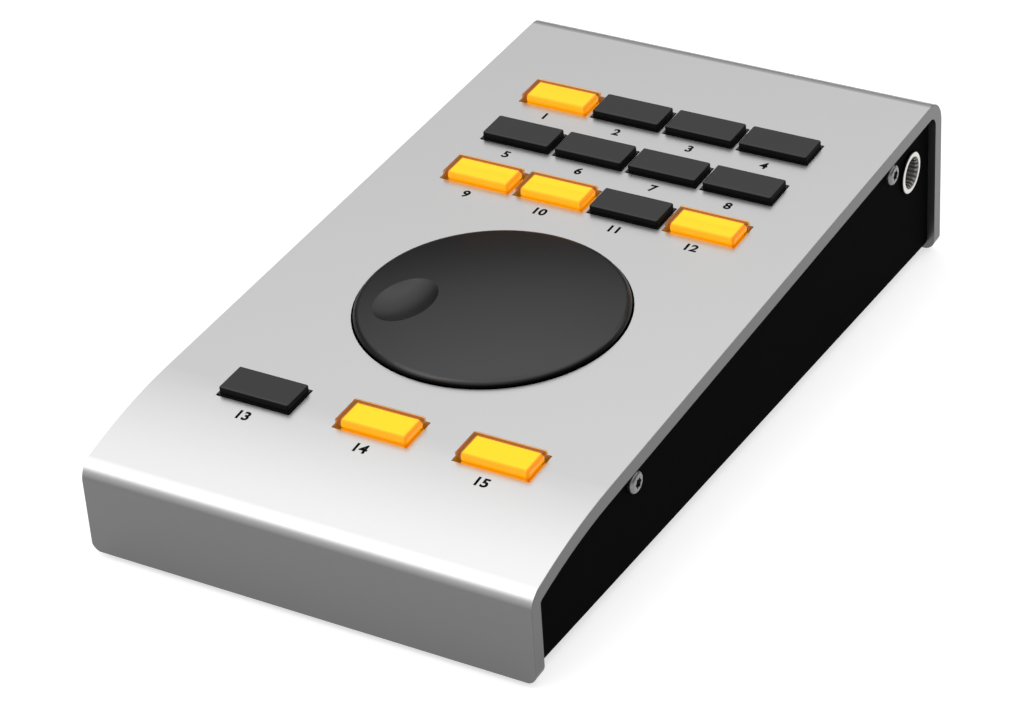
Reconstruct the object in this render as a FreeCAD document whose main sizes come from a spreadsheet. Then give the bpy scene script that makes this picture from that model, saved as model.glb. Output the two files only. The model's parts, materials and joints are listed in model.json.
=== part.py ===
# Studio monitor controller: a sloping desk box with fifteen lit push keys and one large turning wheel.
#
# The box is a bent aluminium cover over a black steel pan. Nearly every piece follows the slope of the
# cover, so the pieces are drawn in the plate's own axes: X to the right, V along the plate to the rear
# and N square to the plate, from a point on its top surface at the middle of the rear key row. The
# function lay_on_plate then tilts each piece and carries it to its place over the desk.
import FreeCAD, Part
import Sketcher
import math
import os

# Driving sizes in millimetres, or degrees for an angle. Counts stay in the code.
SIZES = [
    ("width", 104, "cover across X"),
    ("length", 199.5, "cover along the plate, over both aprons"),
    ("sheet", 3.5, "thickness of the cover sheet"),
    ("tilt", 4.4, "slope of the plate in degrees"),
    ("front_height", 25.4, "front apron, from the plate's plane down"),
    ("rear_reach", 36.5, "from the rear key row to the rear face"),
    ("crown_start", 32.5, "from the front face to where the plate starts to curve"),
    ("crown_radius", 120, "large curve of the plate over its front"),
    ("front_bend", 0.9, "inner radius between the curve and the front apron"),
    ("rear_bend", 3.2, "inner radius between the plate and the rear apron"),
    ("apron_corner", 2.5, "rounded lower corners of the aprons"),
    ("edge_break", 0.1, "broken edge along the sides of the cover"),
    ("foot_height", 3.2, "rubber foot under the pan"),
    ("foot_radius", 6, "rubber foot"),
    ("foot_inset_x", 10.5, "foot centre from the side of the pan"),
    ("foot_inset_y", 14, "foot centre from the end of the pan"),
    ("foot_chamfer", 0.8, "lower edge of a foot"),
    ("apron_drop", 2, "how far the aprons hang below the pan"),
    ("pan_inset", 1.75, "side wall of the pan behind the edge of the cover"),
    ("pan_sheet", 1.5, "thickness of the pan"),
    ("pan_gap", 0.3, "room between the pan and the cover"),
    ("key_length", 17.4, "key flange across X"),
    ("key_depth", 9.1, "key flange along the plate"),
    ("key_slot_gap", 0.2, "room round a key flange in its slot"),
    ("key_web", 0.8, "cover between two slots of a rear row"),
    ("front_key_web", 10.1, "cover between two slots of the front row"),
    ("front_key_setback", 32.8, "front key row behind the front face"),
    ("key_travel", 1, "how far a key goes down"),
    ("flange_rise", 0.2, "top of the key flange over the plate"),
    ("skirt_depth", 2.6, "lower end of the key flange under the plate's top"),
    ("ledge_end", 0.3, "flange beyond each end of the cap"),
    ("ledge_side", 0.4, "flange beyond each side of the cap"),
    ("cap_rise", 1.8, "top of the cap over the plate"),
    ("cap_round", 0.45, "edges of the cap"),
    ("cap_end_wall", 1, "wall at each end of the cap"),
    ("cap_side_wall", 0.9, "wall at each side of the cap"),
    ("core_rise", 1.25, "top of the light core over the plate"),
    ("core_round", 0.6, "upper edges of the light core"),
    ("core_gap", 0.1, "room round the core inside the cap"),
    ("core_block", 5.2, "height of the core above its stem"),
    ("stem_length", 9, "stem across X"),
    ("stem_depth", 4, "stem along the plate"),
    ("stem_foot", 5.4, "barbed foot of the stem along the plate"),
    ("stem_foot_height", 1.5, "barbed foot of the stem"),
    ("stem_gap", 0.15, "room round the stem in its guide"),
    ("guide_end_wall", 2.35, "wall at each end of a key guide"),
    ("guide_side_wall", 1.45, "wall at each side of a key guide"),
    ("guide_gap", 1.25, "room over a key guide when its key is down"),
    ("guide_roof", 3.2, "part of the guide that holds the stem foot down"),
    ("contact_pad_radius", 2.2, "contact pad at the board"),
    ("contact_pad_gap", 0.1, "room over a contact pad when its key is down"),
    ("contact_pad_slope", 15, "lean of a contact pad's side in degrees"),
    ("lamp_length", 1.2, "lamp across X"),
    ("lamp_depth", 0.8, "lamp along the plate"),
    ("lamp_height", 0.6, "lamp over the board"),
    ("lamp_gap", 0.3, "room between a lamp and its contact pad"),
    ("wheel_radius", 29.7, "turning wheel"),
    ("wheel_gap", 0.4, "room round the wheel in the cover"),
    ("wheel_rise", 1.4, "top of the wheel over the plate"),
    ("wheel_round", 1.3, "upper edge of the wheel"),
    ("wheel_thickness", 5, "rim of the wheel"),
    ("wheel_rim", 3, "width of the wheel's rim underneath"),
    ("wheel_web", 3.3, "thickness of the wheel inside its rim"),
    ("wheel_boss", 8, "radius of the boss under the wheel"),
    ("boss_depth", 7.2, "lower end of the boss under the wheel's top"),
    ("dimple_reach", 18.7, "from the wheel's axis to the finger dimple"),
    ("dimple_bearing", 200, "where the dimple stands round the axis, in degrees"),
    ("dimple_turn", -5, "how the dimple's oval is turned, in degrees"),
    ("dimple_width", 12.2, "short way across the dimple"),
    ("dimple_length", 17.6, "long way across the dimple"),
    ("dimple_depth", 1.8, "dimple"),
    ("bush_radius", 4.5, "brass bush in the wheel"),
    ("bush_cover", 2.6, "wheel over the end of the bush"),
    ("fit_gap", 0.02, "room of a pressed or tapped fit"),
    ("running_gap", 0.05, "room of a turning fit"),
    ("shaft_radius", 3, "encoder shaft"),
    ("shaft_flat", 1.5, "flat of the shaft from its axis"),
    ("encoder_side", 13.2, "encoder body"),
    ("boss_gap", 1.2, "room between the wheel's boss and the encoder"),
    ("collar_radius", 4.5, "collar round the encoder shaft"),
    ("collar_height", 1.4, "collar over the encoder body"),
    ("shaft_depth", 4.2, "shaft inside the encoder body"),
    ("board_drop", 14, "top of the board under the plate's top"),
    ("board_sheet", 1.6, "thickness of the board"),
    ("board_gap", 2, "room between the board and the pan's side walls"),
    ("board_front", 12, "board in front of the front key row"),
    ("jack_board_gap", 2.75, "room between the board and the jack body"),
    ("board_tongue", 19, "width of the board's tongue to the rear socket"),
    ("standoff_radius", 2.5, "standoff"),
    ("standoff_inset", 4.3, "standoff from the side of the board"),
    ("standoff_front", 6, "front standoffs behind the front key row"),
    ("board_screw_radius", 1.25, "board screw"),
    ("board_screw_length", 6.5, "board screw under its head"),
    ("board_screw_head", 2.25, "radius of the board screw's head"),
    ("board_screw_head_height", 1.8, "head of the board screw"),
    ("screw_hole_gap", 0.15, "room round a screw in a plain hole"),
    ("side_screw_radius", 1.25, "side screw"),
    ("side_screw_length", 8, "side screw under its head"),
    ("side_head_radius", 2.5, "head of the side screw"),
    ("side_head_height", 1.35, "head of the side screw"),
    ("side_head_round", 0.9, "edge of the side screw's head"),
    ("star_outer", 1.35, "points of the star recess"),
    ("star_inner", 0.95, "hollows of the star recess"),
    ("star_depth", 0.9, "star recess"),
    ("side_screw_setback", 45.5, "front side screws behind the front face"),
    ("block_side", 8, "fixing block, all three ways"),
    ("jack_block_gap", 1.05, "room between the jack body and the fixing block"),
    ("jack_setback", 14.75, "jack in front of the rear face"),
    ("jack_drop", 13.15, "jack under the plate's top"),
    ("jack_bore", 3.25, "radius that takes a 6.35 mm plug"),
    ("jack_nose", 0.7, "nose ring over the wall"),
    ("jack_nose_radius", 5.05, "nose ring"),
    ("jack_mouth", 3.9, "radius of the jack's mouth"),
    ("jack_flute", 0.33, "radius of a flute along the plug hole"),
    ("jack_flute_reach", 3.5, "middle of a flute from the jack's axis"),
    ("jack_flute_length", 4, "flutes from the end of the nose ring inwards"),
    ("jack_sleeve_radius", 4.4, "metal sleeve through the wall"),
    ("jack_sleeve_length", 4, "metal sleeve inside the wall"),
    ("jack_side", 12, "jack body, up and along"),
    ("jack_depth", 31, "jack body inside the wall"),
    ("jack_bore_depth", 29.5, "plug hole in the jack body"),
    ("contact_width", 3, "contact blade across X"),
    ("contact_pitch", 7, "spacing of the contact blades"),
    ("contact_sheet", 0.4, "thickness of a contact"),
    ("contact_reach", 3.5, "contact blade from the jack's axis"),
    ("contact_lap", 4, "lug under the board"),
    ("socket_offset", 18, "rear socket left of the middle"),
    ("socket_width", 12, "socket shell across X"),
    ("socket_height", 10.9, "socket shell, square to the plate"),
    ("socket_depth", 16.2, "socket shell along the plate"),
    ("socket_sheet", 0.4, "thickness of the socket shell"),
    ("socket_gap", 0.3, "room round the socket in the apron"),
    ("socket_recess", 0.3, "socket's mouth behind the rear face"),
    ("mouth_width", 8.45, "plug space of the socket across X"),
    ("mouth_height", 7.78, "plug space of the socket, square to the plate"),
    ("mouth_depth", 9, "plug space of the socket along the plate"),
    ("tongue_width", 5.6, "socket tongue across X"),
    ("tongue_height", 3.2, "socket tongue, square to the plate"),
    ("strip_width", 1, "socket contact across X"),
    ("strip_pitch", 2.5, "spacing of the socket contacts"),
    ("strip_sheet", 0.25, "thickness of a socket contact"),
    ("strip_length", 7.5, "socket contact along the plate"),
    ("chip_side", 12, "microcontroller"),
    ("chip_height", 1.4, "microcontroller"),
    ("chip_leg", 1, "leg of the microcontroller beyond its side"),
    ("chip_leg_width", 0.6, "width of a leg"),
    ("chip_leg_pitch", 1.4, "spacing of the legs"),
    ("chip_leg_sheet", 0.3, "thickness of a leg"),
    ("chip_reach", 22, "microcontroller in front of the rear key row"),
    ("driver_length", 10, "lamp driver across X"),
    ("driver_depth", 4, "lamp driver along the plate"),
    ("driver_height", 1.5, "lamp driver"),
    ("driver_offset", 26, "lamp drivers from the middle"),
    ("crystal_length", 11, "quartz crystal across X"),
    ("crystal_depth", 4.6, "quartz crystal along the plate"),
    ("crystal_height", 3.4, "quartz crystal"),
    ("crystal_reach", 38, "crystal in front of the rear key row"),
    ("capacitor_radius", 3.15, "capacitor can"),
    ("capacitor_height", 7, "capacitor can"),
    ("capacitor_offset", 6, "capacitors from the middle"),
    ("capacitor_reach", 4, "capacitors behind the rear key row"),
]

KEY_COLUMNS = 4
KEY_ROWS = 3
FRONT_KEYS = 3
CONTACTS = 3
STAR_POINTS = 6
JACK_FLUTES = 20
CHIP_LEGS = 7

# Places that several pieces share, in the plate's axes
FRONT_FACE = "(@rear_reach - @length)"
REAR_FACE = "@rear_reach"
FRONT_INSIDE = "(@rear_reach - @length + @sheet)"
REAR_INSIDE = "(@rear_reach - @sheet)"
HALF_WIDTH = "(@width / 2)"
CROWN_V = "(@rear_reach - @length + @crown_start)"
REAR_HEIGHT = "(@front_height + (@length - @sheet) * tan(@tilt))"
FRONT_BEND = "(@front_bend + @sheet)"
REAR_BEND = "(@rear_bend + @sheet)"
# The small front bend rolls inside the large curve, so its centre lies this far under the plate
FRONT_BEND_V = f"({FRONT_FACE} + {FRONT_BEND})"
FRONT_BEND_RUN = f"(@crown_start - {FRONT_BEND})"
FRONT_BEND_N = f"(sqrt((@crown_radius - {FRONT_BEND}) ^ 2 - {FRONT_BEND_RUN} ^ 2) - @crown_radius)"
PAN_HALF = "(@width / 2 - @pan_inset)"
PAN_INNER_HALF = "(@width / 2 - @pan_inset - @pan_sheet)"
BOARD_HALF = "(@width / 2 - @pan_inset - @pan_sheet - @board_gap)"
BOARD_TOP = "(-@board_drop)"
BOARD_BOTTOM = "(-@board_drop - @board_sheet)"
KEY_PITCH = "(@key_length + 2 * @key_slot_gap + @key_web)"
FRONT_KEY_PITCH = "(@key_length + 2 * @key_slot_gap + @front_key_web)"
FRONT_ROW_V = "(@rear_reach - @length + @front_key_setback)"
# The wheel stands midway between the front key row and the nearest rear one
WHEEL_V = f"(({FRONT_ROW_V} - {KEY_ROWS - 1} * {KEY_PITCH}) / 2)"
CAP_LENGTH = "(@key_length - 2 * @ledge_end)"
CAP_DEPTH = "(@key_depth - 2 * @ledge_side)"
CORE_LENGTH = f"({CAP_LENGTH} - 2 * @cap_end_wall - 2 * @core_gap)"
CORE_DEPTH = f"({CAP_DEPTH} - 2 * @cap_side_wall - 2 * @core_gap)"
GUIDE_TOP = "(@core_rise - @core_block - @key_travel - @guide_gap)"
STEM_BOTTOM = f"({GUIDE_TOP} - @guide_roof - @stem_foot_height - @stem_gap)"
BUSH_TOP = "(@wheel_rise - @bush_cover)"
BOSS_BOTTOM = "(@wheel_rise - @boss_depth)"
ENCODER_TOP = f"({BOSS_BOTTOM} - @boss_gap - @collar_height)"
JACK_V = "(@rear_reach - @jack_setback)"
BOARD_REAR = f"({JACK_V} - @jack_side / 2 - @jack_board_gap)"
SIDE_SCREW_REAR = f"({JACK_V} - @jack_side / 2 - @jack_block_gap - @block_side / 2)"
SIDE_SCREW_FRONT = f"({FRONT_FACE} + @side_screw_setback)"
SIDE_SCREW_N = "(-@sheet - @block_side / 2)"

# Where the plate's own origin stands over the desk, so that the feet touch zero and the box is centred
ORIGIN_Z = "(@foot_height - @apron_drop + (@length - @rear_reach) * sin(@tilt) + @front_height * cos(@tilt))"
FOREMOST = f"({FRONT_BEND_V} * cos(@tilt) - {FRONT_BEND_N} * sin(@tilt) - {FRONT_BEND})"
REARMOST = f"({REAR_FACE} * cos(@tilt) + {REAR_HEIGHT} * sin(@tilt))"
ORIGIN_Y = f"(-({FOREMOST} + {REARMOST}) / 2)"

doc = FreeCAD.newDocument("MonitorController")
sheet = doc.addObject("Spreadsheet::Sheet", "Sizes")
for line, (alias, size, meaning) in enumerate(SIZES, 1):
    sheet.set(f"A{line}", alias)
    sheet.set(f"B{line}", str(size))
    sheet.set(f"C{line}", meaning)
    sheet.setAlias(f"B{line}", alias)
doc.recompute()


def words(text):
    """The expression with each size named in the sheet, such as Sizes.width for @width."""
    return text.replace("@", "Sizes.")


def value(text):
    """The number that an expression of sizes comes to."""
    return float(sheet.evalExpression(words(text)))


def body(label):
    """A new sub-part; its label names its node and its file."""
    piece = doc.addObject("PartDesign::Body", label)
    piece.Label = label
    piece.AllowCompound = True
    return piece


def lay_on_plate(piece, x="0", v="0", n="0"):
    """Tilt a piece with the plate and carry it to a place given in the plate's axes."""
    piece.Placement = FreeCAD.Placement(
        FreeCAD.Vector(), FreeCAD.Rotation(FreeCAD.Vector(1, 0, 0), value("@tilt"))
    )
    piece.setExpression("Placement.Rotation.Angle", words("@tilt"))
    piece.setExpression("Placement.Base.x", words(x))
    piece.setExpression(
        "Placement.Base.y", words(f"{ORIGIN_Y} + ({v}) * cos(@tilt) - ({n}) * sin(@tilt)")
    )
    piece.setExpression(
        "Placement.Base.z", words(f"{ORIGIN_Z} + ({v}) * sin(@tilt) + ({n}) * cos(@tilt)")
    )


def drawing(piece, plane, offset="0"):
    """A sketch on one of the piece's own planes, moved along the plane's normal."""
    sketch = piece.newObject("Sketcher::SketchObject", "Sketch")
    base = [item for item in piece.Origin.OriginFeatures if item.Role == plane + "_Plane"][0]
    sketch.AttachmentSupport = [(base, "")]
    sketch.MapMode = "FlatFace"
    sketch.setExpression("AttachmentOffset.Base.z", words(offset))
    return sketch


def pinned(element, end, x, y):
    """The two rules that hold one point of a sketch at its place, with their sizes."""
    rules = []
    for kind, text, axis in (("DistanceX", x, -2), ("DistanceY", y, -1)):
        if text == "0":
            rules.append((Sketcher.Constraint("PointOnObject", element, end, axis), None))
        else:
            rules.append((Sketcher.Constraint(kind, -1, 1, element, end, value(text)), text))
    return rules


def curved(element, radius):
    """The rule that holds the radius of a circle or an arc."""
    return (Sketcher.Constraint("Radius", element, value(radius)), radius)


def hold(sketch, rules):
    """Add the rules together, and tie each one that has a size to the sheet."""
    indices = sketch.addConstraint([rule for rule, text in rules])
    for index, (rule, text) in zip(indices, rules):
        if text:
            sketch.setExpression(f"Constraints[{index}]", words(text))


def outline(sketch, corners, arcs=None):
    """A closed outline. arcs gives centre and radius for the side that starts at that corner."""
    arcs = arcs or {}
    points = [FreeCAD.Vector(value(x), value(y), 0) for x, y in corners]
    ends = []
    for number, start in enumerate(points):
        finish = points[(number + 1) % len(points)]
        if number in arcs:
            x, y, radius = arcs[number]
            centre = FreeCAD.Vector(value(x), value(y), 0)
            angles = [math.atan2(p.y - centre.y, p.x - centre.x) for p in (start, finish)]
            forward = (angles[1] - angles[0]) % (2 * math.pi) < math.pi
            low, high = angles if forward else reversed(angles)
            circle = Part.Circle(centre, FreeCAD.Vector(0, 0, 1), value(radius))
            element = sketch.addGeometry(Part.ArcOfCircle(circle, low, high))
            ends.append((element, 1, 2) if forward else (element, 2, 1))
        else:
            element = sketch.addGeometry(Part.LineSegment(start, finish))
            ends.append((element, 1, 2))
    rules = []
    for number, (element, start, finish) in enumerate(ends):
        following, its_start = ends[(number + 1) % len(ends)][:2]
        joined = Sketcher.Constraint("Coincident", element, finish, following, its_start)
        rules.append((joined, None))
        rules += pinned(element, start, *corners[number])
        if number in arcs:
            rules.append(curved(element, arcs[number][2]))
    hold(sketch, rules)


def rectangle(sketch, x, y, across, along):
    """A rectangle about its middle."""
    left, right = f"({x}) - {across} / 2", f"({x}) + {across} / 2"
    low, high = f"({y}) - {along} / 2", f"({y}) + {along} / 2"
    outline(sketch, [(left, low), (right, low), (right, high), (left, high)])


def circle(sketch, x, y, radius):
    """A circle about its middle."""
    middle = FreeCAD.Vector(value(x), value(y), 0)
    ring = Part.Circle(middle, FreeCAD.Vector(0, 0, 1), value(radius))
    element = sketch.addGeometry(ring)
    hold(sketch, pinned(element, 3, x, y) + [curved(element, radius)])


def pad(piece, sketch, length, symmetric=False):
    """Raise the sketch along its normal, or to both sides of it."""
    feature = piece.newObject("PartDesign::Pad", "Pad")
    feature.Profile = sketch
    feature.setExpression("Length", words(length))
    if symmetric:
        feature.SideType = "Symmetric"
    feature.recompute(True)
    return feature


def pocket(piece, sketch, length, onward=False, symmetric=False):
    """Cut the sketch out against its normal, or along it when onward, and make sure that it cuts."""
    before = piece.Tip.Shape.Volume
    feature = piece.newObject("PartDesign::Pocket", "Pocket")
    feature.Profile = sketch
    feature.setExpression("Length", words(length))
    feature.Reversed = onward
    if symmetric:
        feature.SideType = "Symmetric"
    feature.recompute(True)
    if feature.Shape.Volume >= before:
        raise ValueError(f"a cut in {piece.Label} removes nothing")
    return feature


def turn(piece, sketch, axis):
    """Turn the sketch all the way round one of its own axes."""
    feature = piece.newObject("PartDesign::Revolution", "Revolution")
    feature.Profile = sketch
    feature.ReferenceAxis = (sketch, [axis])
    feature.Angle = 360
    feature.recompute(True)
    return feature


def soften(piece, kind, size, chosen):
    """Fillet or chamfer the edges of the piece that chosen picks."""
    base = piece.Tip
    edges = [f"Edge{i}" for i, edge in enumerate(base.Shape.Edges, 1) if chosen(edge)]
    feature = piece.newObject("PartDesign::" + kind, kind)
    feature.Base = (base, edges)
    feature.setExpression("Radius" if kind == "Fillet" else "Size", words(size))
    feature.recompute(True)
    return feature


def near(a, b):
    return abs(a - b) < 0.001


def key_places():
    """Middle of each key in the plate's axes: three rows of four, and a front row of three."""
    places = []
    for row in range(KEY_ROWS):
        for column in range(KEY_COLUMNS):
            side = column - (KEY_COLUMNS - 1) / 2
            places.append((f"{side} * {KEY_PITCH}", f"-{row} * {KEY_PITCH}"))
    for column in range(FRONT_KEYS):
        side = column - (FRONT_KEYS - 1) / 2
        places.append((f"{side} * {FRONT_KEY_PITCH}", FRONT_ROW_V))
    return places


def standoff_places():
    """At the sides of the board behind the first row and beside the wheel, and between the front keys."""
    edge = f"({BOARD_HALF} - @standoff_inset)"
    pairs = [
        (edge, f"-{KEY_PITCH} / 2"),
        (edge, WHEEL_V),
        (f"{FRONT_KEY_PITCH} / 2", f"({FRONT_ROW_V} + @standoff_front)"),
    ]
    return [(f"{side}{x}", v) for x, v in pairs for side in ("", "-")]


def side_screw_places():
    """Along the plate and under it; the same on both sides."""
    return [(v, SIDE_SCREW_N) for v in (SIDE_SCREW_REAR, SIDE_SCREW_FRONT)]


def make_top_cover():
    piece = body("top_cover")
    outer_path = [
        (REAR_FACE, f"-{REAR_HEIGHT}"),
        (REAR_FACE, f"-{REAR_BEND}"),
        (f"{REAR_FACE} - {REAR_BEND}", "0"),
        (CROWN_V, "0"),
        crown_end("0"),
        (FRONT_FACE, FRONT_BEND_N),
        (FRONT_FACE, "-@front_height"),
    ]
    inner_path = [
        (FRONT_INSIDE, "-@front_height"),
        (FRONT_INSIDE, FRONT_BEND_N),
        crown_end("@sheet"),
        (CROWN_V, "-@sheet"),
        (f"{REAR_FACE} - {REAR_BEND}", "-@sheet"),
        (REAR_INSIDE, f"-{REAR_BEND}"),
        (REAR_INSIDE, f"-{REAR_HEIGHT}"),
    ]
    rear_middle = (f"{REAR_FACE} - {REAR_BEND}", f"-{REAR_BEND}")
    crown_middle = (CROWN_V, "-@crown_radius")
    front_middle = (FRONT_BEND_V, FRONT_BEND_N)
    arcs = {
        1: (*rear_middle, REAR_BEND),
        3: (*crown_middle, "@crown_radius"),
        4: (*front_middle, FRONT_BEND),
        8: (*front_middle, "@front_bend"),
        9: (*crown_middle, "(@crown_radius - @sheet)"),
        11: (*rear_middle, "@rear_bend"),
    }
    profile = drawing(piece, "YZ")
    outline(profile, outer_path + inner_path, arcs)
    pad(piece, profile, "@width", symmetric=True)

    rim = [(value(v), value(n)) for v, n in outer_path]

    def on_outer_rim(edge):
        spots = [vertex.Point for vertex in edge.Vertexes]
        at_side = all(near(abs(spot.x), value(HALF_WIDTH)) for spot in spots)
        return at_side and all(any(near(spot.y, v) and near(spot.z, n) for v, n in rim) for spot in spots)

    soften(piece, "Chamfer", "@edge_break", on_outer_rim)

    slots = drawing(piece, "XY", "@sheet")
    for x, v in key_places():
        rectangle(
            slots, x, v, "(@key_length + 2 * @key_slot_gap)", "(@key_depth + 2 * @key_slot_gap)"
        )
    circle(slots, "0", WHEEL_V, "(@wheel_radius + @wheel_gap)")
    pocket(piece, slots, "3 * @sheet")

    socket = drawing(piece, "XZ", f"-({REAR_INSIDE} - @sheet)")
    rectangle(
        socket,
        "-@socket_offset",
        socket_middle(),
        "(@socket_width + 2 * @socket_gap)",
        "(@socket_height + 2 * @socket_gap)",
    )
    pocket(piece, socket, "3 * @sheet")

    for face, height in ((FRONT_FACE, "@front_height"), (REAR_INSIDE, REAR_HEIGHT)):
        corners = drawing(piece, "XZ", f"-({face} - @sheet)")
        for side in ("", "-"):
            round_corner(corners, side, height)
        pocket(piece, corners, "3 * @sheet")
    lay_on_plate(piece)


def crown_end(inset):
    """Where the large curve meets the small front bend, on the line through both centres."""
    share = f"((@crown_radius - {inset}) / (@crown_radius - {FRONT_BEND}))"
    rise = f"({FRONT_BEND_N} + @crown_radius)"
    return (f"{CROWN_V} - {FRONT_BEND_RUN} * {share}", f"{rise} * {share} - @crown_radius")


def round_corner(sketch, side, height):
    """What is cut off a square lower corner of an apron to leave it rounded."""
    flank = f"{side}{HALF_WIDTH}"
    inner = f"{side}({HALF_WIDTH} - @apron_corner)"
    outer = f"{side}({HALF_WIDTH} + @sheet)"
    top = f"-({height} - @apron_corner)"
    under = f"-({height} + @sheet)"
    corners = [(flank, top), (outer, top), (outer, under), (inner, under), (inner, f"-{height}")]
    outline(sketch, corners, {4: (inner, top, "@apron_corner")})


def socket_middle():
    """The rear socket hangs under the board."""
    return f"({BOARD_BOTTOM} - @socket_height / 2)"


def pan_floor(v, lift="0"):
    """The level underside of the pan as seen in the tilted axes of the plate, or a line above it."""
    return f"((@apron_drop + {lift}) / cos(@tilt) - @front_height - ({v} - {FRONT_FACE}) * tan(@tilt))"


def make_base_pan():
    piece = body("base_pan")
    front = f"({FRONT_INSIDE} + @pan_gap)"
    rear = f"({REAR_INSIDE} - @pan_gap)"
    top = "-(@sheet + @pan_gap)"
    crown = "(@crown_radius - @sheet - @pan_gap)"
    front_n = f"(sqrt({crown} ^ 2 - ({front} - {CROWN_V}) ^ 2) - @crown_radius)"
    corners = [
        (rear, pan_floor(rear)),
        (rear, f"-{REAR_BEND}"),
        (f"{REAR_FACE} - {REAR_BEND}", top),
        (CROWN_V, top),
        (front, front_n),
        (front, pan_floor(front)),
    ]
    arcs = {
        1: (f"{REAR_FACE} - {REAR_BEND}", f"-{REAR_BEND}", "(@rear_bend - @pan_gap)"),
        3: (CROWN_V, "-@crown_radius", crown),
    }
    profile = drawing(piece, "YZ")
    outline(profile, corners, arcs)
    pad(piece, profile, f"2 * {PAN_HALF}", symmetric=True)

    inside = drawing(piece, "YZ")
    before, behind = FRONT_FACE, REAR_FACE
    outline(
        inside,
        [
            (before, pan_floor(before, "@pan_sheet")),
            (behind, pan_floor(behind, "@pan_sheet")),
            (behind, "@sheet"),
            (before, "@sheet"),
        ],
    )
    pocket(piece, inside, f"2 * {PAN_INNER_HALF}", symmetric=True)

    screws = drawing(piece, "YZ")
    for v, n in side_screw_places():
        circle(screws, v, n, "(@side_screw_radius + @screw_hole_gap)")
    pocket(piece, screws, "@width", symmetric=True)

    jack = drawing(piece, "YZ", HALF_WIDTH)
    circle(jack, JACK_V, "-@jack_drop", "(@jack_sleeve_radius + @screw_hole_gap)")
    pocket(piece, jack, HALF_WIDTH)
    lay_on_plate(piece)


def make_rubber_feet():
    """Four discs under the pan, level with the desk."""
    piece = body("rubber_feet")
    x = f"({PAN_HALF} - @foot_inset_x)"
    middle = f"({FRONT_INSIDE} + {REAR_INSIDE}) / 2"
    reach = f"(({REAR_INSIDE} - {FRONT_INSIDE}) / 2 - @pan_gap - @foot_inset_y)"
    sole = drawing(piece, "XY")
    for side in ("", "-"):
        for end in ("+", "-"):
            circle(sole, f"{side}{x}", f"{ORIGIN_Y} + ({middle} {end} {reach}) * cos(@tilt)", "@foot_radius")
    pad(piece, sole, "@foot_height")
    soften(piece, "Chamfer", "@foot_chamfer", lambda edge: near(edge.BoundBox.ZMax, 0))


def make_fixing_blocks():
    """Tapped blocks under the cover that take the side screws."""
    piece = body("fixing_blocks")
    middle = f"({PAN_INNER_HALF} - @block_side / 2)"
    blocks = drawing(piece, "XY", "-(@sheet + @block_side)")
    for v, n in side_screw_places():
        for side in ("", "-"):
            rectangle(blocks, f"{side}{middle}", v, "@block_side", "@block_side")
    pad(piece, blocks, "@block_side")
    holes = drawing(piece, "YZ")
    for v, n in side_screw_places():
        circle(holes, v, n, "(@side_screw_radius + @fit_gap)")
    pocket(piece, holes, "@width", symmetric=True)
    lay_on_plate(piece)


def make_side_screws():
    """Pan-head screws with a star recess, two in each side wall."""
    piece = body("side_screws")
    for side, flip in (("", False), ("-", True)):
        wall = f"{side}{PAN_HALF}"
        head = drawing(piece, "YZ", wall)
        shank = drawing(piece, "YZ", wall)
        for v, n in side_screw_places():
            circle(head, v, n, "@side_head_radius")
            circle(shank, v, n, "@side_screw_radius")
        pad(piece, head, "@side_head_height").Reversed = flip
        pad(piece, shank, "@side_screw_length").Reversed = not flip
    crown = value(PAN_HALF) + value("@side_head_height")
    soften(
        piece,
        "Fillet",
        "@side_head_round",
        lambda edge: all(near(abs(vertex.X), crown) for vertex in edge.Vertexes),
    )
    for side, onward in (("", False), ("-", True)):
        recess = drawing(piece, "YZ", f"{side}({PAN_HALF} + @side_head_height)")
        for v, n in side_screw_places():
            star(recess, v, n)
        pocket(piece, recess, "@star_depth", onward=onward)
    lay_on_plate(piece)


def star(sketch, x, y):
    """A six-pointed recess for a star driver."""
    corners = []
    for step in range(2 * STAR_POINTS):
        radius = "@star_outer" if step % 2 == 0 else "@star_inner"
        angle = step * 180 / STAR_POINTS
        corners.append((f"{x} + {radius} * cos({angle})", f"{y} + {radius} * sin({angle})"))
    outline(sketch, corners)


def make_main_board():
    piece = body("main_board")
    front = f"({FRONT_ROW_V} - @board_front)"
    tongue_left = "(-@socket_offset - @board_tongue / 2)"
    tongue_right = "(-@socket_offset + @board_tongue / 2)"
    tongue_end = f"({REAR_INSIDE} - @pan_gap)"
    corners = [
        (f"-{BOARD_HALF}", front),
        (BOARD_HALF, front),
        (BOARD_HALF, BOARD_REAR),
        (tongue_right, BOARD_REAR),
        (tongue_right, tongue_end),
        (tongue_left, tongue_end),
        (tongue_left, BOARD_REAR),
        (f"-{BOARD_HALF}", BOARD_REAR),
    ]
    sketch = drawing(piece, "XY", BOARD_BOTTOM)
    outline(sketch, corners)
    for x, v in standoff_places():
        circle(sketch, x, v, "(@board_screw_radius + @screw_hole_gap)")
    pad(piece, sketch, "@board_sheet")
    lay_on_plate(piece)


def make_board_standoffs():
    """Pillars from the underside of the cover to the board, tapped from below."""
    piece = body("board_standoffs")
    pillars = drawing(piece, "XY", BOARD_TOP)
    bores = drawing(piece, "XY", BOARD_TOP)
    for x, v in standoff_places():
        circle(pillars, x, v, "@standoff_radius")
        circle(bores, x, v, "(@board_screw_radius + @fit_gap)")
    pad(piece, pillars, "@board_drop - @sheet")
    pocket(piece, bores, "@board_screw_length", onward=True)
    lay_on_plate(piece)


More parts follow.
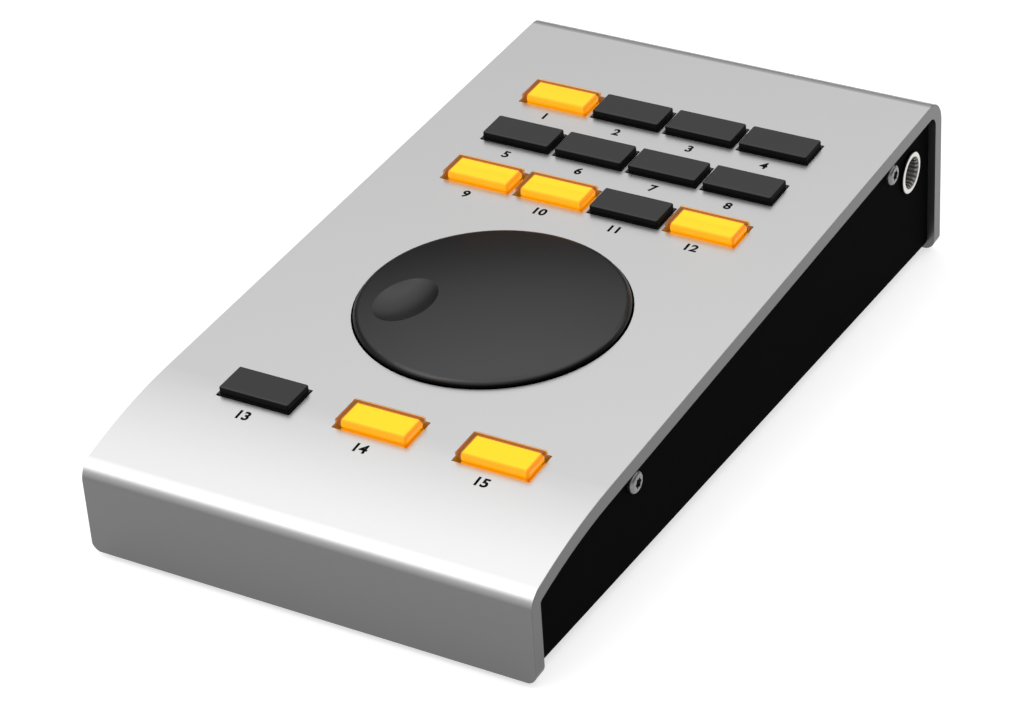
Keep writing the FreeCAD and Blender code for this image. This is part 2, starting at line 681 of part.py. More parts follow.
def make_board_screws():
    piece = body("board_screws")
    heads = drawing(piece, "XY", f"({BOARD_BOTTOM} - @board_screw_head_height)")
    shanks = drawing(piece, "XY", BOARD_BOTTOM)
    for x, v in standoff_places():
        circle(heads, x, v, "@board_screw_head")
        circle(shanks, x, v, "@board_screw_radius")
    pad(piece, heads, "@board_screw_head_height")
    pad(piece, shanks, "@board_screw_length")
    for x, v in standoff_places():
        recess = drawing(piece, "XY", f"({BOARD_BOTTOM} - @board_screw_head_height)")
        star(recess, x, v)
        pocket(piece, recess, "@star_depth", onward=True)
    lay_on_plate(piece)


def make_key_guides():
    """Switch housings on the board: a wide chamber for the stem's foot under a close-fitting roof."""
    piece = body("key_guides")
    inner = "(@stem_length + 2 * @stem_gap)"
    outer = f"({inner} + 2 * @guide_end_wall)"
    depth = "(@stem_foot + 2 * @stem_gap + 2 * @guide_side_wall)"
    ceiling = f"({GUIDE_TOP} - @guide_roof)"
    layers = [
        (BOARD_TOP, "@stem_foot", f"{ceiling} - {BOARD_TOP}"),
        (ceiling, "@stem_depth", "@guide_roof"),
    ]
    for x, v in key_places():
        for level, hollow, height in layers:
            sketch = drawing(piece, "XY", level)
            rectangle(sketch, x, v, outer, depth)
            rectangle(sketch, x, v, inner, f"({hollow} + 2 * @stem_gap)")
            pad(piece, sketch, height)
    lay_on_plate(piece)


def make_contact_pads():
    """Silicone pads that the stems reach at the end of their travel."""
    piece = body("contact_pads")
    sketch = drawing(piece, "XY", BOARD_TOP)
    for x, v in key_places():
        circle(sketch, x, v, "@contact_pad_radius")
    feature = pad(piece, sketch, f"{STEM_BOTTOM} - @key_travel - @contact_pad_gap - {BOARD_TOP}")
    feature.setExpression("TaperAngle", words("-@contact_pad_slope"))
    lay_on_plate(piece)


def make_key_lamps():
    """Two lamps under each key, beside its contact pad."""
    piece = body("key_lamps")
    offset = "(@contact_pad_radius + @lamp_gap + @lamp_length / 2)"
    for x, v in key_places():
        sketch = drawing(piece, "XY", BOARD_TOP)
        for side in ("+", "-"):
            rectangle(sketch, f"{x} {side} {offset}", v, "@lamp_length", "@lamp_depth")
        pad(piece, sketch, "@lamp_height")
    lay_on_plate(piece)


def make_key_cap(label, x, v):
    """The outer shell: a flange that runs in the cover's slot and a raised cap with soft edges."""
    piece = body(label)
    flange = drawing(piece, "XY", "-@skirt_depth")
    rectangle(flange, "0", "0", "@key_length", "@key_depth")
    pad(piece, flange, "@skirt_depth + @flange_rise")
    cap = drawing(piece, "XY", "@flange_rise")
    rectangle(cap, "0", "0", CAP_LENGTH, CAP_DEPTH)
    pad(piece, cap, "@cap_rise - @flange_rise")
    step = value("@flange_rise") + 0.001
    soften(piece, "Fillet", "@cap_round", lambda edge: edge.BoundBox.ZMax > step)
    hollow = drawing(piece, "XY", "-@skirt_depth")
    rectangle(hollow, "0", "0", f"({CORE_LENGTH} + 2 * @core_gap)", f"({CORE_DEPTH} + 2 * @core_gap)")
    pocket(piece, hollow, "@skirt_depth + @core_rise", onward=True)
    lay_on_plate(piece, x, v)


def make_key_core(label, x, v):
    """The light core: a block inside the cap on a stem with a barbed foot."""
    piece = body(label)
    block = drawing(piece, "XY", "(@core_rise - @core_block)")
    rectangle(block, "0", "0", CORE_LENGTH, CORE_DEPTH)
    pad(piece, block, "@core_block")
    crest = value("@core_rise")
    soften(piece, "Fillet", "@core_round", lambda edge: near(edge.BoundBox.ZMin, crest))
    stem = drawing(piece, "XY", STEM_BOTTOM)
    rectangle(stem, "0", "0", "@stem_length", "@stem_depth")
    pad(piece, stem, f"(@core_rise - @core_block) - {STEM_BOTTOM}")
    foot = drawing(piece, "XY", STEM_BOTTOM)
    rectangle(foot, "0", "0", "@stem_length", "@stem_foot")
    pad(piece, foot, "@stem_foot_height")
    lay_on_plate(piece, x, v)


def make_control_wheel():
    piece = body("control_wheel")
    bottom = "(@wheel_rise - @wheel_thickness)"
    web = "(@wheel_rise - @wheel_web)"
    bore = "(@bush_radius + @fit_gap)"
    shoulder = "(@wheel_radius - @wheel_round)"
    corners = [
        ("0", "@wheel_rise"),
        ("0", BUSH_TOP),
        (bore, BUSH_TOP),
        (bore, BOSS_BOTTOM),
        ("@wheel_boss", BOSS_BOTTOM),
        ("@wheel_boss", web),
        ("@wheel_radius - @wheel_rim", web),
        ("@wheel_radius - @wheel_rim", bottom),
        ("@wheel_radius", bottom),
        ("@wheel_radius", "@wheel_rise - @wheel_round"),
        (shoulder, "@wheel_rise"),
    ]
    profile = drawing(piece, "XZ")
    outline(profile, corners, {9: (shoulder, "@wheel_rise - @wheel_round", "@wheel_round")})
    turn(piece, profile, "V_Axis")

    # The dimple is part of an ellipsoid whose centre floats above the wheel
    lift = "((@dimple_width ^ 2 / 4 - @dimple_depth ^ 2) / (2 * @dimple_depth))"
    tall = f"({lift} + @dimple_depth)"
    dimple = piece.newObject("PartDesign::SubtractiveEllipsoid", "Dimple")
    base = [item for item in piece.Origin.OriginFeatures if item.Role == "XY_Plane"][0]
    dimple.AttachmentSupport = [(base, "")]
    dimple.MapMode = "FlatFace"
    dimple.AttachmentOffset = FreeCAD.Placement(
        FreeCAD.Vector(), FreeCAD.Rotation(FreeCAD.Vector(0, 0, 1), value("@dimple_turn"))
    )
    settings = {
        "Radius1": tall,
        "Radius2": tall,
        "Radius3": f"@dimple_length / @dimple_width * {tall}",
        "AttachmentOffset.Base.x": "@dimple_reach * cos(@dimple_bearing)",
        "AttachmentOffset.Base.y": "@dimple_reach * sin(@dimple_bearing)",
        "AttachmentOffset.Base.z": f"@wheel_rise + {lift}",
    }
    for name, text in settings.items():
        dimple.setExpression(name, words(text))
    dimple.recompute(True)
    lay_on_plate(piece, "0", WHEEL_V)


def shaft_outline(sketch, gap):
    """A round shaft with a flat along it."""
    radius = f"(@shaft_radius + {gap})"
    flat = f"(@shaft_flat + {gap})"
    half = f"sqrt({radius} ^ 2 - {flat} ^ 2)"
    corners = [(flat, half), (f"-{radius}", "0"), (flat, f"-{half}")]
    outline(sketch, corners, {0: ("0", "0", radius), 1: ("0", "0", radius)})


def make_wheel_bush():
    """Brass bush pressed into the wheel's boss, with a bore that fits the shaft's flat."""
    piece = body("wheel_bush")
    sketch = drawing(piece, "XY", BOSS_BOTTOM)
    circle(sketch, "0", "0", "@bush_radius")
    shaft_outline(sketch, "@fit_gap")
    pad(piece, sketch, f"{BUSH_TOP} - {BOSS_BOTTOM}")
    lay_on_plate(piece, "0", WHEEL_V)


def make_encoder_shaft():
    piece = body("encoder_shaft")
    start = f"({ENCODER_TOP} - @shaft_depth)"
    lower = drawing(piece, "XY", start)
    circle(lower, "0", "0", "@shaft_radius")
    pad(piece, lower, f"{BOSS_BOTTOM} - {start}")
    upper = drawing(piece, "XY", BOSS_BOTTOM)
    shaft_outline(upper, "0")
    pad(piece, upper, f"{BUSH_TOP} - {BOSS_BOTTOM}")
    lay_on_plate(piece, "0", WHEEL_V)


def make_encoder_body():
    piece = body("encoder_body")
    case = drawing(piece, "XY", BOARD_TOP)
    rectangle(case, "0", "0", "@encoder_side", "@encoder_side")
    pad(piece, case, f"{ENCODER_TOP} - {BOARD_TOP}")
    collar = drawing(piece, "XY", ENCODER_TOP)
    circle(collar, "0", "0", "@collar_radius")
    pad(piece, collar, "@collar_height")
    bore = drawing(piece, "XY", f"({ENCODER_TOP} + @collar_height)")
    circle(bore, "0", "0", "(@shaft_radius + @running_gap)")
    pocket(piece, bore, "@collar_height + @shaft_depth + @running_gap")
    lay_on_plate(piece, "0", WHEEL_V)


def jack_place():
    return (PAN_HALF, JACK_V, "-@jack_drop")


def make_jack_bush():
    """Plated nose ring and sleeve of the jack, with flutes round the mouth of its bore."""
    piece = body("jack_bush")
    inner = "-(@pan_sheet + @jack_sleeve_length)"
    flare = "(@jack_mouth - @jack_bore)"
    rim = "(@jack_nose_radius - @jack_nose / 2)"
    corners = [
        (inner, "@jack_bore"),
        (f"@jack_nose - {flare}", "@jack_bore"),
        ("@jack_nose", "@jack_mouth"),
        ("@jack_nose", rim),
        ("@jack_nose / 2", "@jack_nose_radius"),
        ("0", "@jack_nose_radius"),
        ("0", "@jack_sleeve_radius"),
        (inner, "@jack_sleeve_radius"),
    ]
    profile = drawing(piece, "XY")
    outline(profile, corners, {3: ("@jack_nose / 2", rim, "@jack_nose / 2")})
    turn(piece, profile, "H_Axis")
    flutes = drawing(piece, "YZ", "@jack_nose")
    for step in range(JACK_FLUTES):
        angle = (step + 0.5) * 360 / JACK_FLUTES
        across = f"@jack_flute_reach * cos({angle})"
        along = f"@jack_flute_reach * sin({angle})"
        circle(flutes, across, along, "@jack_flute")
    pocket(piece, flutes, "@jack_flute_length")
    lay_on_plate(piece, *jack_place())


def contact_places():
    """Start of each contact blade, counted in from the pan's outer face."""
    return [f"-(@pan_sheet + @jack_sleeve_length + {step + 1} * @contact_pitch)" for step in range(CONTACTS)]


def contact_levels():
    """A lug lies under the board, and the blade stands on it beside the plug hole."""
    top = f"({BOARD_BOTTOM} + @jack_drop)"
    low = f"({BOARD_BOTTOM} + @jack_drop - @contact_sheet)"
    high = f"({BOARD_BOTTOM} + @jack_drop + @jack_bore)"
    return low, top, high


def make_jack_body():
    piece = body("jack_body")
    block = drawing(piece, "YZ", "-(@pan_sheet + @jack_depth)")
    rectangle(block, "0", "0", "@jack_side", "@jack_side")
    pad(piece, block, "@jack_depth")
    for radius, depth in (
        ("@jack_bore", "@jack_bore_depth"),
        ("(@jack_sleeve_radius + @fit_gap)", "@jack_sleeve_length"),
    ):
        hole = drawing(piece, "YZ", "-@pan_sheet")
        circle(hole, "0", "0", radius)
        pocket(piece, hole, depth)
    low, top, high = contact_levels()
    back = "-(@contact_reach + @contact_sheet)"
    for place in contact_places():
        slot = drawing(piece, "YZ", place)
        corners = [
            ("-@jack_side", low),
            ("-@jack_bore / 2", low),
            ("-@jack_bore / 2", high),
            (back, high),
            (back, top),
            ("-@jack_side", top),
        ]
        outline(slot, corners)
        pocket(piece, slot, "@contact_width", onward=True)
    lay_on_plate(piece, *jack_place())


def make_jack_contacts():
    """Blades beside the plug hole, each with a lug that is soldered under the board."""
    piece = body("jack_contacts")
    low, top, high = contact_levels()
    reach = "-@contact_reach"
    back = "-(@contact_reach + @contact_sheet)"
    end = f"({BOARD_REAR} - @contact_lap - {JACK_V})"
    for place in contact_places():
        blade = drawing(piece, "YZ", place)
        outline(blade, [(end, low), (reach, low), (reach, high), (back, high), (back, top), (end, top)])
        pad(piece, blade, "@contact_width")
    lay_on_plate(piece, *jack_place())


def socket_place():
    return ("-@socket_offset", f"{REAR_FACE} - @socket_recess", socket_middle())


def make_socket_shell():
    piece = body("socket_shell")
    sketch = drawing(piece, "XZ")
    rectangle(sketch, "0", "0", "@socket_width", "@socket_height")
    inner = ("(@socket_width - 2 * @socket_sheet)", "(@socket_height - 2 * @socket_sheet)")
    rectangle(sketch, "0", "0", *inner)
    pad(piece, sketch, "@socket_depth")
    lay_on_plate(piece, *socket_place())


def make_socket_insert():
    """Moulded block that fills the shell, with a tongue in the middle of the plug space."""
    piece = body("socket_insert")
    block = drawing(piece, "XZ", "@socket_sheet")
    inner = ("(@socket_width - 2 * @socket_sheet)", "(@socket_height - 2 * @socket_sheet)")
    rectangle(block, "0", "0", *inner)
    pad(piece, block, "@socket_depth - @socket_sheet")
    mouth = drawing(piece, "XZ", "@socket_sheet")
    rectangle(mouth, "0", "0", "@mouth_width", "@mouth_height")
    rectangle(mouth, "0", "0", "@tongue_width", "@tongue_height")
    pocket(piece, mouth, "@mouth_depth", onward=True)
    lay_on_plate(piece, *socket_place())


def make_socket_contacts():
    piece = body("socket_contacts")
    sketch = drawing(piece, "XZ", "@socket_sheet + @mouth_depth - @strip_length")
    for x in ("@strip_pitch / 2", "-@strip_pitch / 2"):
        for side in ("", "-"):
            middle = f"{side}(@tongue_height + @strip_sheet) / 2"
            rectangle(sketch, x, middle, "@strip_width", "@strip_sheet")
    pad(piece, sketch, "@strip_length")
    lay_on_plate(piece, *socket_place())


def make_microcontroller():
    """Flat package under the board, with legs along its four sides."""
    piece = body("microcontroller")
    case = drawing(piece, "XY", "-@chip_height")
    rectangle(case, "0", "0", "@chip_side", "@chip_side")
    pad(piece, case, "@chip_height")
    out = "(@chip_side / 2 + @chip_leg / 2)"
    for leg in range(CHIP_LEGS):
        along = f"{leg - (CHIP_LEGS - 1) / 2} * @chip_leg_pitch"
        legs = drawing(piece, "XY", "-@chip_leg_sheet")
        for side in ("", "-"):
            rectangle(legs, along, f"{side}{out}", "@chip_leg_width", "@chip_leg")
            rectangle(legs, f"{side}{out}", along, "@chip_leg", "@chip_leg_width")
        pad(piece, legs, "@chip_leg_sheet")
    lay_on_plate(piece, "0", "-@chip_reach", BOARD_BOTTOM)


def make_lamp_drivers():
    piece = body("lamp_drivers")
    sketch = drawing(piece, "XY", "-@driver_height")
    for side in ("", "-"):
        rectangle(sketch, f"{side}@driver_offset", "0", "@driver_length", "@driver_depth")
    pad(piece, sketch, "@driver_height")
    lay_on_plate(piece, "0", "-@chip_reach", BOARD_BOTTOM)


def make_crystal():
    piece = body("crystal")
    sketch = drawing(piece, "XY", "-@crystal_height")
    rectangle(sketch, "0", "0", "@crystal_length", "@crystal_depth")
    pad(piece, sketch, "@crystal_height")
    upright = value("@crystal_height") / 2
    soften(piece, "Fillet", "@crystal_depth / 3", lambda edge: edge.BoundBox.ZLength > upright)
    lay_on_plate(piece, "0", "-@crystal_reach", BOARD_BOTTOM)


def make_capacitors():
    piece = body("capacitors")
    sketch = drawing(piece, "XY", "-@capacitor_height")
    for side in ("", "-"):
        circle(sketch, f"{side}@capacitor_offset", "0", "@capacitor_radius")
    pad(piece, sketch, "@capacitor_height")
    lay_on_plate(piece, "0", "@capacitor_reach", BOARD_BOTTOM)


make_top_cover()
make_base_pan()
make_rubber_feet()
make_fixing_blocks()
make_side_screws()
make_main_board()
make_board_standoffs()
make_board_screws()
make_key_guides()
make_contact_pads()
make_key_lamps()
for number, place in enumerate(key_places(), 1):
    make_key_cap(f"key_cap_{number:02d}", *place)
    make_key_core(f"key_core_{number:02d}", *place)
make_control_wheel()
make_wheel_bush()
make_encoder_shaft()
make_encoder_body()
make_jack_bush()
make_jack_body()
make_jack_contacts()
make_socket_shell()
make_socket_insert()
make_socket_contacts()
make_microcontroller()
make_lamp_drivers()
make_crystal()
make_capacitors()
doc.recompute()

for item in doc.Objects:
    if "Invalid" in item.State or "Error" in item.State:
        raise ValueError(f"{item.Label} did not build")

os.makedirs("parts", exist_ok=True)
for piece in doc.findObjects("PartDesign::Body"):
    shape = piece.Shape
    if shape.isNull() or not shape.isValid():
        raise ValueError(f"{piece.Label} has no sound solid")
    shape.exportStep(f"parts/{piece.Label}.step")
    print(f"{piece.Label}: {len(shape.Solids)} solids, {shape.Volume:.1f} mm3")
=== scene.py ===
# %% [markdown]
# # A studio monitor controller
#
# The real thing is a small desk box. A thick aluminium sheet is bent over a black steel pan, and
# fifteen push keys and one large wheel stand in it. The solid model already has every piece in its
# right place, so this lesson is about surfaces: blasted metal, powder coat, clear amber plastic with
# a light behind it, and printed numbers.

# %% Load the solid model
import bmesh
import bpy
import json
import math
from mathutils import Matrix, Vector


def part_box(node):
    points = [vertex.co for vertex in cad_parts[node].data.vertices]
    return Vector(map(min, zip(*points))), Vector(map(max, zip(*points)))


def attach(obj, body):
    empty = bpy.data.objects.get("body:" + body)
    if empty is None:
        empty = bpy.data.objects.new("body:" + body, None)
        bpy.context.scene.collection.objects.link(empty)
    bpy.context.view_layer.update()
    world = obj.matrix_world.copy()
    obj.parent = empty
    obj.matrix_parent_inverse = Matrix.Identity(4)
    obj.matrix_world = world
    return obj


MM = 0.001

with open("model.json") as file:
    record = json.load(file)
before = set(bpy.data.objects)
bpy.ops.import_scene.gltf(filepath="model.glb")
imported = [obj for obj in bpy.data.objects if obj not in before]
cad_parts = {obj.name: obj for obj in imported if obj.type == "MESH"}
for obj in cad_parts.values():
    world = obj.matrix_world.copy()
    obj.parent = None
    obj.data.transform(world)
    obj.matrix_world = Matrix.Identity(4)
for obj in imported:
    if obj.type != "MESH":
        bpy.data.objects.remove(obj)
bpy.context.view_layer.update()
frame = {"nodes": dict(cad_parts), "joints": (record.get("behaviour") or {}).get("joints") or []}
print("nodes:", len(frame["nodes"]))

# %% [markdown]
# Nearly every piece follows the slope of the cover. The wheel turns about a line square to the
# plate, so its joint gives the plate's normal and a point to measure from. With those, any place on
# the plate can be written as X, the distance V along the slope and the height N over the plate.

# %% The plate's own axes
wheel_joint = [joint for joint in frame["joints"] if joint["name"] == "wheel_turn"][0]
plate_normal = Vector(wheel_joint["axis"]).normalized()
along_plate = plate_normal.cross(Vector((1, 0, 0))).normalized()
wheel_centre = Vector(wheel_joint["pos_m"])
slope = math.atan2(along_plate.z, along_plate.y)


def on_plate(x, v, n):
    """A point measured from the wheel's centre in the plate's own axes, in metres."""
    return wheel_centre + Vector((x, 0, 0)) + along_plate * v + plate_normal * n


print("slope of the plate in degrees:", round(math.degrees(slope), 2))

# %% [markdown]
# Colours are easiest to read off a picture as sRGB hex, but a shader works in linear light. One
# function turns the first into the second. A second one adds any kind of node, with its settings
# and its links, so that each material below stays a short list.

# %% Colour and node helpers


def linear(text):
    """The linear colour of an sRGB hex value."""
    channels = [int(text[i : i + 2], 16) / 255 for i in (1, 3, 5)]
    return [c / 12.92 if c <= 0.04045 else ((c + 0.055) / 1.055) ** 2.4 for c in channels] + [1.0]


def add_node(tree, kind, settings=None, **inputs):
    """Add a node, set its properties, and set or link its inputs by name, or by number as i0, i1."""
    node = tree.nodes.new(kind)
    for name, setting in (settings or {}).items():
        setattr(node, name, setting)
    for name, source in inputs.items():
        by_number = name[0] == "i" and name[1:].isdigit()
        socket = node.inputs[int(name[1:]) if by_number else name.replace("_", " ")]
        if isinstance(source, bpy.types.NodeSocket):
            tree.links.new(source, socket)
        else:
            socket.default_value = source
    return node


def new_material(name, **surface):
    """A material with one principled shader, whose sockets are given by name."""
    material = bpy.data.materials.new(name)
    material.use_nodes = True
    tree = material.node_tree
    shader = tree.nodes["Principled BSDF"]
    for socket, setting in surface.items():
        shader.inputs[socket.replace("_", " ")].default_value = setting
    return material, tree, shader


def finish_nodes(material, *names):
    """Give CAD nodes this material in every slot."""
    for name in names:
        for slot in frame["nodes"][name].material_slots:
            slot.material = material
    print(material.name, "->", len(names), "nodes")


# %% [markdown]
# No real surface is one flat colour with one shine. Each finish below gets a noise in real
# millimetres, which moves the roughness and often the normal too. It is measured in the piece's own
# coordinates, so it stays on the piece when the piece moves. Two more helpers colour a surface by
# the way it faces. A real finish doesn't do that. It is painted light and shade, used below where the
# light of this studio differs from the photographer's, and each place says so.

# %% Grain and facing helpers


def place_of(tree):
    """Where on the piece a shading point is, in metres."""
    return add_node(tree, "ShaderNodeTexCoord").outputs["Object"]


def way_of(tree):
    """Which way the surface faces, in the piece's own axes."""
    return add_node(tree, "ShaderNodeTexCoord").outputs["Normal"]


def grain_of(tree, size, detail=2.0):
    """A noise whose specks have the given size in metres."""
    noise = add_node(
        tree, "ShaderNodeTexNoise", Vector=place_of(tree), Scale=1 / size, Detail=detail
    )
    return noise.outputs["Fac"]


def roughen(tree, shader, grain, low, high):
    """Let a grain move the roughness between two values."""
    spread = add_node(tree, "ShaderNodeMapRange", Value=grain, To_Min=low, To_Max=high)
    tree.links.new(spread.outputs["Result"], shader.inputs["Roughness"])


def emboss(tree, shader, grain, strength, depth):
    """Let a grain move the normal, as relief of the given depth in metres."""
    bump = add_node(tree, "ShaderNodeBump", Height=grain, Strength=strength, Distance=depth)
    tree.links.new(bump.outputs["Normal"], shader.inputs["Normal"])


def vector_math(tree, operation, first, second):
    """One vector sum. A dot product comes out as Value, the others as Vector."""
    node = add_node(tree, "ShaderNodeVectorMath", {"operation": operation}, i0=first, i1=second)
    return node.outputs["Value" if operation == "DOT_PRODUCT" else "Vector"]


def facing(tree, direction, low, high):
    """How far a surface faces a direction, from 0 at low to 1 at high."""
    spread = add_node(
        tree,
        "ShaderNodeMapRange",
        {"interpolation_type": "SMOOTHSTEP"},
        Value=vector_math(tree, "DOT_PRODUCT", way_of(tree), direction),
        From_Min=low,
        From_Max=high,
    )
    return spread.outputs["Result"]


def mix_colours(tree, share, low, high):
    """A blend of two colours, where the share is 0 at the first and 1 at the second."""
    blend = add_node(
        tree, "ShaderNodeMix", {"data_type": "RGBA"}, Factor=share, i6=low, i7=high
    )
    return blend.outputs[2]


print("helpers ready")

# %% [markdown]
# The cover is a bent aluminium sheet that is blasted with fine glass beads and clear anodised. The
# beads leave dimples of about a tenth of a millimetre, too small to see one by one, which spread the
# reflections into a soft satin sheen. So the metal gets a middling roughness, and a noise of about
# 0.25 mm, coarser than the real beads so that it still shows, moves the roughness and the normal.
#
# The real sheet has one colour. Here the aprons and the cut side edges are painted darker than the
# plate, by the way they face, because this studio lights them more than the one in the picture. So
# the tones match from the picture's side, and less well from others. Where the plate is flat its
# true normal is used. The smoothed one leans a little towards the rear bend and would shade it.

# %% Blasted aluminium of the cover
BEAD_SIZE = 0.25 * MM
BEAD_DEPTH = 0.02 * MM
FACE_COLOUR = "#DADADA"
# painted shade: the aprons and the cut edges are darker than the plate, though the sheet is one
# colour
APRON_PAINTED_SHADE = "#6F6F6F"
CUT_EDGE_PAINTED_SHADE = "#606060"
FLAT_ENOUGH = 0.99999


def blasted_aluminium():
    """Satin bare metal: soft wide reflections over a very fine grain, with painted shade on the
    aprons and the cut edges.
    """
    material, tree, shader = new_material("bead_blasted_anodised_aluminium", Metallic=1.0)
    on_top = facing(tree, plate_normal, 0.2, 0.8)
    along = mix_colours(tree, on_top, linear(APRON_PAINTED_SHADE), linear(FACE_COLOUR))
    sideways = add_node(tree, "ShaderNodeSeparateXYZ", Vector=way_of(tree)).outputs["X"]
    on_side = add_node(tree, "ShaderNodeMath", {"operation": "ABSOLUTE"}, i0=sideways)
    colour = mix_colours(tree, on_side.outputs[0], along, linear(CUT_EDGE_PAINTED_SHADE))
    tree.links.new(colour, shader.inputs["Base Color"])
    grain = grain_of(tree, BEAD_SIZE)
    roughen(tree, shader, grain, 0.30, 0.38)
    tree.links.new(blasted_normal(tree, grain), shader.inputs["Normal"])
    return material


def blasted_normal(tree, grain):
    """The true normal on the flat plate and the smoothed one on its bends, with the grain on both."""
    geometry = add_node(tree, "ShaderNodeNewGeometry").outputs
    level = vector_math(tree, "DOT_PRODUCT", geometry["True Normal"], plate_normal)
    flat = add_node(
        tree, "ShaderNodeMath", {"operation": "GREATER_THAN"}, i0=level, i1=FLAT_ENOUGH
    )
    chosen = add_node(
        tree,
        "ShaderNodeMix",
        {"data_type": "VECTOR"},
        Factor=flat.outputs[0],
        i4=geometry["Normal"],
        i5=geometry["True Normal"],
    )
    bump = add_node(
        tree,
        "ShaderNodeBump",
        Height=grain,
        Strength=0.12,
        Distance=BEAD_DEPTH,
        Normal=chosen.outputs[1],
    )
    return bump.outputs["Normal"]


finish_nodes(blasted_aluminium(), "top_cover", "fixing_blocks")

# %% [markdown]
# The pan is folded steel with a fine black powder coat. Powder leaves a faint orange peel with waves
# of about one millimetre. A real matt coat shines more than this one. Its shine is turned nearly
# off, because the wall is almost black in the picture.

# %% Powder coat of the pan
PEEL_SIZE = 0.9 * MM
PEEL_DEPTH = 0.03 * MM


def powder_coat():
    """Deep matt black that stays black beside the bright cover."""
    material, tree, shader = new_material(
        "matt_black_powder_coat", Base_Color=linear("#0A0A0A"), Specular_IOR_Level=0.003
    )
    peel = grain_of(tree, PEEL_SIZE, detail=1.0)
    roughen(tree, shader, peel, 0.55, 0.65)
    emboss(tree, shader, peel, 0.25, PEEL_DEPTH)
    return material


finish_nodes(powder_coat(), "base_pan")

# %% [markdown]
# The wheel is turned from aluminium and anodised black. The black layer takes most of the metal's
# shine, so it is drawn as a dark rough metal, and fine rings from the lathe stay just visible. They
# come from the distance to the wheel's axis, measured in the plate's own axes with a Mapping node.
# Its rim is painted darker than its face. That is painted shade, not a second colour of the layer.
#
# In the picture the face goes from dark at the rear to a soft grey at the front. The solid's face is
# flat, so a crown of 4 mm is added to the shading alone. That height was chosen for this match, and
# no such crown was measured on the wheel.

# %% Black anodised wheel
RING_PITCH = 0.35 * MM
RING_DEPTH = 0.01 * MM
# a wave texture of scale 1 has this many rings in a metre
WAVES_PER_UNIT = 10 / math.pi
WHEEL_RADIUS = 29.7 * MM
CROWN_HEIGHT = 4.0 * MM
WHEEL_GRAIN = 0.2 * MM


def black_anodised():
    """Dark metal with a satin sheen, faint lathe rings and painted shade on its rim."""
    material, tree, shader = new_material("black_anodised_turned_aluminium", Metallic=1.0)
    # painted shade: the sides of the wheel are darker than its face, though the anodising is one
    # colour
    on_top = facing(tree, plate_normal, 0.3, 0.8)
    colour = mix_colours(tree, on_top, linear("#101010"), linear("#434343"))
    tree.links.new(colour, shader.inputs["Base Color"])
    roughen(tree, shader, grain_of(tree, WHEEL_GRAIN), 0.30, 0.36)
    centred = add_node(
        tree,
        "ShaderNodeMapping",
        {"vector_type": "TEXTURE"},
        Vector=place_of(tree),
        Location=wheel_centre,
        Rotation=(slope, 0, 0),
    ).outputs["Vector"]
    rings = add_node(
        tree,
        "ShaderNodeTexWave",
        {"wave_type": "RINGS", "rings_direction": "Z"},
        Vector=centred,
        Scale=1 / (WAVES_PER_UNIT * RING_PITCH),
    )
    bump = add_node(
        tree,
        "ShaderNodeBump",
        Height=rings.outputs["Fac"],
        Strength=0.05,
        Distance=RING_DEPTH,
        Normal=crowned_normal(tree, centred),
    )
    tree.links.new(bump.outputs["Normal"], shader.inputs["Normal"])
    return material


def crowned_normal(tree, centred):
    """The normal of a face that falls off from its middle with the square of the distance."""
    flat = vector_math(tree, "MULTIPLY", centred, (1, 1, 0))
    squared = vector_math(tree, "DOT_PRODUCT", flat, flat)
    fall = add_node(
        tree,
        "ShaderNodeMath",
        {"operation": "MULTIPLY"},
        i0=squared,
        i1=-CROWN_HEIGHT / WHEEL_RADIUS**2,
    )
    return add_node(tree, "ShaderNodeBump", Height=fall.outputs[0], Distance=1.0).outputs["Normal"]


finish_nodes(black_anodised(), "control_wheel")

# %% [markdown]
# Each key has a clear shell over a light core. On a lit key the core is milky yellow plastic with
# lamps under it, so it gives off light itself, with a deeper yellow painted on its sides. The shell
# over it is clear, with an amber dye that works through the depth of the plastic. Volume Absorption
# draws that, and the thick edges turn brown amber.
#
# The shell takes three shortcuts. Light bends as it goes in but leaves straight, or some rays would
# never get out of the thin walls and black lines would show. Its index is 1.3, under the 1.58 of
# real polycarbonate, because the picture shows hardly any reflection on its sides. And a weak amber
# glow is added, which real plastic doesn't give off by itself.

# %% Lit keys
SHELL_GRAIN = 0.3 * MM
CORE_GRAIN = 0.4 * MM
DYE_DENSITY = 1800.0


def amber_shell():
    """Clear amber: glassy, with a warm rim. A low index keeps white reflections off its sides."""
    material, tree, shader = new_material(
        "clear_amber_polycarbonate",
        Base_Color=linear("#FFFFFF"),
        IOR=1.3,
        Specular_IOR_Level=0.1,
        Transmission_Weight=1.0,
        Emission_Color=linear("#E09208"),
        Emission_Strength=0.24,
    )
    roughen(tree, shader, grain_of(tree, SHELL_GRAIN), 0.02, 0.05)
    leaving = add_node(tree, "ShaderNodeNewGeometry").outputs["Backfacing"]
    straight = add_node(tree, "ShaderNodeBsdfTransparent").outputs["BSDF"]
    both = add_node(
        tree, "ShaderNodeMixShader", Fac=leaving, i1=shader.outputs["BSDF"], i2=straight
    )
    dye = add_node(
        tree, "ShaderNodeVolumeAbsorption", Color=linear("#F3C42E"), Density=DYE_DENSITY
    )
    output = tree.nodes["Material Output"]
    tree.links.new(both.outputs["Shader"], output.inputs["Surface"])
    tree.links.new(dye.outputs["Volume"], output.inputs["Volume"])
    return material


def glowing_core():
    """Milky plastic lit from below: bright yellow on top, deeper amber down its sides."""
    material, tree, shader = new_material(
        "lit_yellow_diffuser",
        Base_Color=linear("#A08010"),
        Specular_IOR_Level=0.1,
        Emission_Strength=1.35,
    )
    on_top = facing(tree, plate_normal, 0.2, 0.9)
    glow = mix_colours(tree, on_top, linear("#D5CC0C"), linear("#D8E61C"))
    tree.links.new(glow, shader.inputs["Emission Color"])
    roughen(tree, shader, grain_of(tree, CORE_GRAIN), 0.45, 0.55)
    return material


